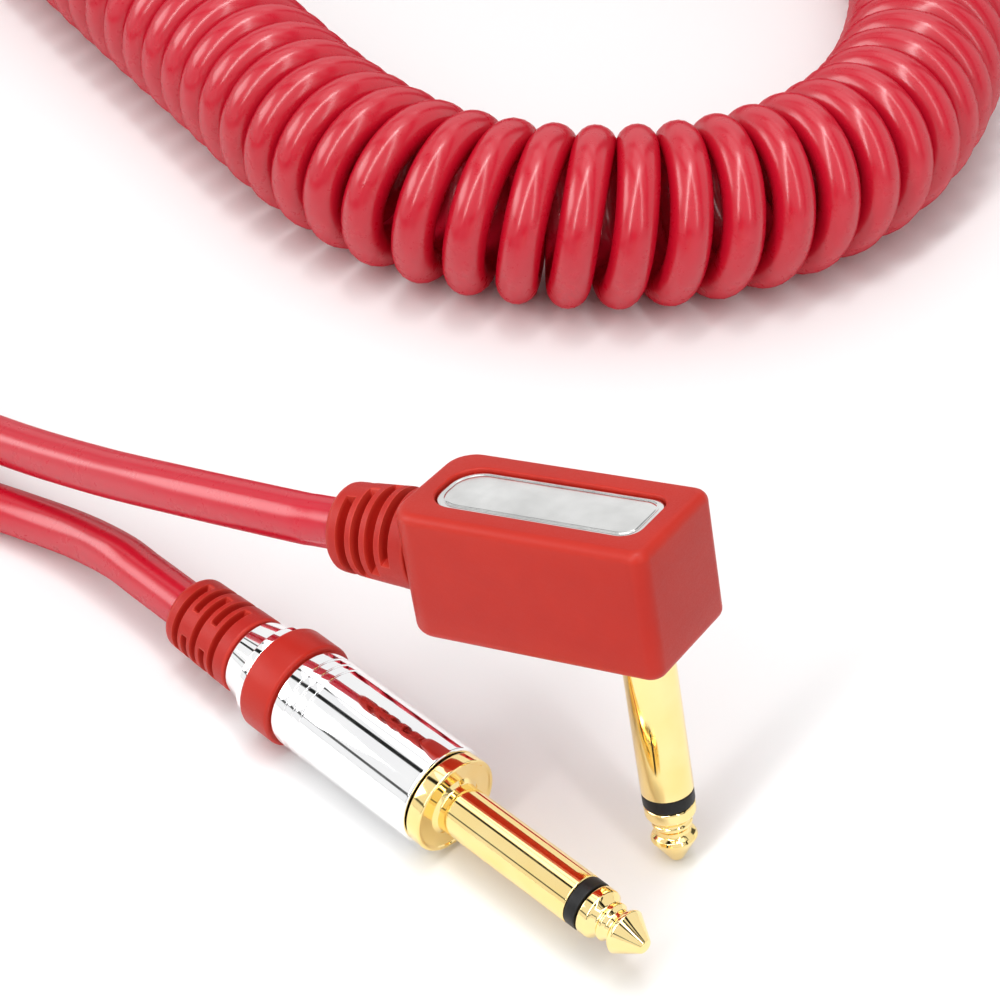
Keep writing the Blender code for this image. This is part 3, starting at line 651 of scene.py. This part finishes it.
def straight_barrel():
    """Chrome shell with three fine grooves, the red ring and the chrome tail bushing."""
    front, rear = SHELL_FRONT / MM, SHELL_REAR / MM
    shell = [(5.5, front), (6.5, front, 0.35)]
    for z in (rear + 4.8, rear + 3.4, rear + 2.0):
        shell += [(6.5, z + 0.16, 0.08), (6.33, z + 0.05), (6.33, z - 0.05), (6.5, z - 0.16, 0.08)]
    shell += [(6.5, rear, 0.3), (5.5, rear)]
    piece = turned("shell_plated", shell, STRAIGHT, "shell", LOOKS["chrome"], sides=128)
    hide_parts("straight_shell")
    front, rear = ID_RING_FRONT / MM, ID_RING_REAR / MM
    ring = [(5.5, front), (7.1, front, 0.45), (7.1, rear, 0.55), (5.5, rear)]
    piece = turned("ring_moulded", ring, STRAIGHT, "ring", LOOKS["housing"], sides=128)
    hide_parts("straight_id_ring")
    front, rear = BUSHING_FRONT / MM, BUSHING_REAR / MM
    bushing = [
        (5.35, front + 5.2),
        (5.35, front),
        (6.35, front, 0.25),
        (6.35, front - 1.2, 0.2),
        (5.9, front - 1.45, 0.15),
        (5.15, rear + 0.2, 0.3),
        (4.35, rear),
        (4.35, rear + 2.6),
        (4.6, rear + 2.6),
        (4.6, front + 5.2),
    ]
    piece = turned("bushing_plated", bushing, STRAIGHT, "bushing", LOOKS["chrome"], sides=128)
    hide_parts("straight_tail_bushing")


def slot_depth(angles, z, middles, half_width, half_span, radius, turns):
    """How deep the boot is cut at each angle at height z: two slots in each row, the first row
    turned by turns[0] and each row turned by turns[1] from the last. 0 is uncut and 1 is the
    bottom of a slot."""
    soft = 0.2
    depth = np.zeros(len(angles))
    for row, middle in enumerate(middles):
        across = smoothstep((half_width - abs(z - middle)) / soft + 0.5)
        turn = turns[0] + row * turns[1]
        away = np.abs((angles - turn + math.pi / 2) % math.pi - math.pi / 2)
        along = smoothstep((half_span - away) * radius / soft + 0.5)
        depth = np.maximum(depth, across * along)
    return depth


def boot(name, place, body, front, rear, radii, rows, cut, turns, spigot):
    """A moulded bend relief along +Z from rear to front, in millimetres, slotted all round."""
    bore = CORD_RADIUS / MM + 0.15
    collar, rim = 1.7, 1.5
    pitch = (front - rear - collar - rim) / rows
    middles = [front - collar - pitch * (row + 0.5) for row in range(rows)]
    half_width, half_span = 0.27 * pitch, math.radians(68)
    sides = 168
    angles = np.arange(sides) * 2 * math.pi / sides
    lip, edge = 0.35, 0.9
    stations = [(4.2, front + spigot), (4.2, front), (radii[0] - lip, front)]
    for a in (0.5, 1.0, 1.57):
        stations.append((radii[0] - lip * (1 - math.sin(a)), front - lip * (1 - math.cos(a))))
    steps = 110
    length = front - rear - lip - edge
    for share in (k / steps for k in range(1, steps)):
        stations.append((radii[0] + (radii[1] - radii[0]) * share, front - lip - length * share))
    for a in (0.0, 0.4, 0.8, 1.2, 1.57):
        stations.append((radii[1] - edge * 1.1 * (1 - math.cos(a)), rear + edge * (1 - math.sin(a))))
    stations += [(bore, rear), (bore, front + spigot)]
    grid = []
    for radius, z in stations:
        depth = slot_depth(angles, z, middles, half_width, half_span, radius, turns)
        ring = radius - cut * depth * (radius > bore + cut)
        row = [ring * np.cos(angles), ring * np.sin(angles), np.full(len(angles), z)]
        grid.append(np.column_stack(row) * MM)
    piece = skin(name, grid, place, body, LOOKS["rubber"], loop=True, sharp=50)
    return piece


def boots():
    front, rear = BOOT_FRONT / MM, BOOT_REAR / MM
    piece = boot(
        "straight_boot_moulded", STRAIGHT, "boot", front, rear, (5.3, 5.0), 5, 1.5, STRAIGHT_SLOTS, 2.3
    )
    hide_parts("straight_boot")
    front, rear = -ANGLE_BOOT_FRONT / MM, -ANGLE_BOOT_REAR / MM
    piece = boot("angle_boot_moulded", GLAND, "cable", front, rear, (6.2, 5.5), 4, 1.8, ANGLE_SLOTS, 1.9)
    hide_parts("angle_boot")


def angle_housing():
    """The moulded box: a loft from the pin's hole, over the outside, into the plate's recess."""
    edge = 1.3 * MM

    def outside(inset, height):
        low = (HOUSING_LOW[0] + inset, HOUSING_LOW[1] + inset)
        high = (HOUSING_HIGH[0] - inset, HOUSING_HIGH[1] - inset)
        return plan(low, high, 1.9 * MM - inset * 0.8, 3.6 * MM - inset * 0.8, height)

    def hole(radius, height):
        return plan((-radius, -radius), (radius, radius), radius, radius, height)

    rows = [hole(3.3 * MM, -1.5 * MM), hole(3.3 * MM, -0.15 * MM), hole(3.45 * MM, 0.0)]
    bends = [k * math.pi / 12 for k in range(7)]
    rows += [outside(edge * (1 - math.sin(a)), -edge * (1 - math.cos(a))) for a in bends]
    top = -HOUSING_HEIGHT
    rows += [outside(0.0, top * share) for share in (0.3, 0.5, 0.7)]
    rows += [outside(edge * (1 - math.cos(a)), top + edge * (1 - math.sin(a))) for a in bends]
    lip = 0.25 * MM
    for a in bends:
        rows.append(nameplate_outline(-lip * (1 - math.sin(a)) - GAP, top + lip * (1 - math.cos(a))))
    rows += [nameplate_outline(-GAP, top + depth) for depth in (0.6 * MM, 1.2 * MM)]
    piece = skin("housing_moulded", rows, ANGLE, "cable", LOOKS["housing"])
    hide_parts("angle_housing")


def nameplate_outline(inset, height):
    middle = (HOUSING_LOW[0] + HOUSING_HIGH[0]) / 2
    half_length, half_width = 13.75 * MM - inset, 4.5 * MM - inset
    low, high = (middle - half_length, -half_width), (middle + half_length, half_width)
    return plan(low, high, 2.2 * MM - inset * 0.6, 3.6 * MM - inset * 0.6, height)


def nameplate():
    """A blank polished plate, crowned like a pillow, with a fine engraved line inside its edge.
    Its rows shrink toward the plate's middle line."""
    face = -HOUSING_HEIGHT + 0.45 * MM
    profile = [(0.0, 0.75), (0.0, 0.2), (0.04, 0.08), (0.14, 0.03), (0.6, 0.0), (0.66, 0.07)]
    profile += [(0.76, 0.07), (0.82, -0.01)]
    rows = [nameplate_outline(inset * MM, face + depth * MM) for inset, depth in profile]
    rim = np.array(rows[-1])
    spine = np.clip(rim[:, 0], rim[:, 0].min() + 3.6 * MM, rim[:, 0].max() - 3.6 * MM)
    crown = 0.34 * MM
    for share in np.linspace(0.0, 1.0, 13)[1:]:
        row = rim.copy()
        row[:, 0] += (spine - rim[:, 0]) * share
        row[:, 1] *= 1 - share
        row[:, 2] -= crown * (1 - (1 - share) ** 2)
        rows.append(row)
    piece = skin("nameplate_blank", rows, ANGLE, "cable", LOOKS["plate"], caps=False, sharp=60)
    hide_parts("angle_nameplate")


# --- Floor, lights and camera ---


def make_floor():
    mesh = bpy.data.meshes.new("floor")
    half = 3.0
    corners = [(-half, -half, 0), (half, -half, 0), (half, half, 0), (-half, half, 0)]
    mesh.from_pydata(corners, [], [(0, 1, 2, 3)])
    mesh.materials.append(floor_look())
    floor = bpy.data.objects.new("floor", mesh)
    bpy.context.scene.collection.objects.link(floor)


def softbox(name, place, target, size, power, gloss_only=False):
    data = bpy.data.lights.new(name, "AREA")
    data.shape = "RECTANGLE"
    data.size, data.size_y = size
    data.energy = power
    lamp = bpy.data.objects.new(name, data)
    lamp.location = place
    lamp.rotation_euler = (Vector(target) - Vector(place)).to_track_quat("-Z", "Y").to_euler()
    lamp.visible_camera = False
    lamp.visible_diffuse = not gloss_only
    bpy.context.scene.collection.objects.link(lamp)


def make_surround():
    """An even white surround. What shines in it also meets thin dark seams between its panels."""
    world = bpy.data.worlds.new("studio")
    bpy.context.scene.world = world
    world.use_nodes = True
    tree = world.node_tree

    def math_node(operation, *values):
        node = tree.nodes.new("ShaderNodeMath")
        node.operation = operation
        for socket, value in zip(node.inputs, values, strict=False):
            if isinstance(value, bpy.types.NodeSocket):
                tree.links.new(value, socket)
            else:
                socket.default_value = value
        return node.outputs[0]

    split = tree.nodes.new("ShaderNodeSeparateXYZ")
    tree.links.new(tree.nodes.new("ShaderNodeTexCoord").outputs["Generated"], split.inputs[0])
    x, y, z = split.outputs
    along_row = math_node("ARCTAN2", z, y)
    round_row = math_node("ARCTAN2", y, x)
    bright = 1.0
    for turn, places in ((along_row, SEAMS_OVERHEAD), (round_row, SEAMS_UPRIGHT)):
        for middle, half, depth in places:
            away = math_node("ABSOLUTE", math_node("SUBTRACT", turn, math.radians(middle)))
            edge = math_node("SUBTRACT", away, math.radians(half))
            clear = math_node("MULTIPLY", edge, 1 / math.radians(SEAM_SOFTNESS))
            clear = math_node("MINIMUM", math_node("MAXIMUM", clear, 0.0), 1.0)
            dark = math_node("MULTIPLY", math_node("SUBTRACT", 1.0, clear), depth)
            bright = math_node("MULTIPLY", bright, math_node("SUBTRACT", 1.0, dark))
    light = tree.nodes.new("ShaderNodeLightPath").outputs
    shiny = math_node("MULTIPLY", bright, SURROUND_SHINE)
    shone = math_node("MULTIPLY", math_node("SUBTRACT", shiny, SURROUND), light["Is Glossy Ray"])
    plain = math_node("MULTIPLY", 1.0 - SURROUND, light["Is Camera Ray"])
    background = tree.nodes["Background"]
    background.inputs["Color"].default_value = (1.0, 1.0, 1.0, 1.0)
    strength = math_node("ADD", math_node("ADD", shone, plain), SURROUND)
    tree.links.new(strength, background.inputs["Strength"])


def make_lights():
    """A wide, far light overhead, a tall, narrow softbox at each side of the camera, and a low
    one that lights nothing but the gloss along the tails."""
    middle = (-0.05, 0.06, 0.0)
    data = bpy.data.lights.new("overhead", "SUN")
    data.energy = 0.5
    data.angle = math.radians(50)
    lamp = bpy.data.objects.new("overhead", data)
    lamp.location = (-0.3, 0.3, 1.0)
    lamp.rotation_euler = (Vector(middle) - lamp.location).to_track_quat("-Z", "Y").to_euler()
    bpy.context.scene.collection.objects.link(lamp)
    softbox("left", (0.0, -0.335, 0.636), middle, (0.08, 1.3), 4.1)
    softbox("right", (0.334, -0.043, 0.636), middle, (0.065, 1.3), 1.9)
    tails = (-0.09, -0.01, 0.0)
    softbox("low left", (-0.61, -0.44, 0.36), tails, (0.5, 0.36), 2.2, gloss_only=True)


def make_camera():
    """Level with 40 degrees of downward view, across the corner between -Y and +X."""
    data = bpy.data.cameras.new("camera")
    data.sensor_width = 36.0
    data.lens = 93.6
    data.clip_start = 0.01
    camera = bpy.data.objects.new("camera", data)
    target = Vector((-0.0331, 0.0388, 0.0))
    azimuth, elevation = math.radians(45), math.radians(40)
    level = math.cos(elevation)
    back = Vector((math.sin(azimuth) * level, -math.cos(azimuth) * level, math.sin(elevation)))
    camera.location = target + back * 0.360
    camera.rotation_euler = (-back).to_track_quat("-Z", "Y").to_euler()
    bpy.context.scene.collection.objects.link(camera)
    bpy.context.scene.camera = camera


dress_hidden_pieces()
make_cord()
straight_pin()
straight_barrel()
angle_pin()
angle_housing()
nameplate()
boots()
make_floor()
make_surround()
make_lights()
make_camera()
bpy.context.scene.view_settings.view_transform = "Standard"
